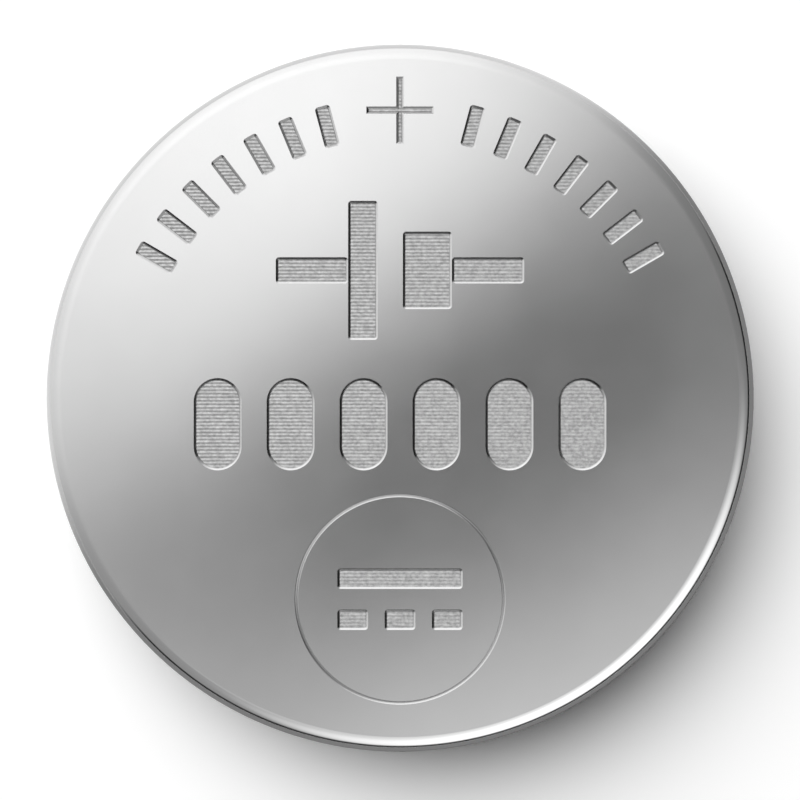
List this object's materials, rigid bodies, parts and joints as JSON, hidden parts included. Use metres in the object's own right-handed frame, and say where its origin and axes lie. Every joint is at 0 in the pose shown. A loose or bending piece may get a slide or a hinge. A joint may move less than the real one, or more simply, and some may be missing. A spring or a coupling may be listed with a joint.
{
  "type": "lithium coin cell",
  "caption": "Sealed round lithium coin cell lying on its flat negative contact, with a stamped positive face and a rolled-in rim.",
  "frame": {"origin": "centre of the negative contact, at the middle of the bottom of the cell's box", "axes": "+Z along the cell's own axis, out of the positive face; +Y towards the plus sign stamped on that face"},
  "size_m": [0.0125, 0.0124, 0.0025],
  "materials": {
    "can_steel": "satin nickel plating",
    "cap_steel": "satin nickel plating",
    "gasket_polypropylene": "moulded",
    "lithium_metal": "rolled foil",
    "separator_felt": "non-woven felt",
    "cathode_mix": "pressed powder",
    "collector_steel": "expanded sheet"
  },
  "bodies": {
    "root": {"positive_can": "can_steel", "negative_cap": "cap_steel", "sealing_gasket": "gasket_polypropylene", "lithium_anode": "lithium_metal", "separator": "separator_felt", "cathode_pellet": "cathode_mix", "cathode_collector": "collector_steel"}
  },
  "joints": []
}
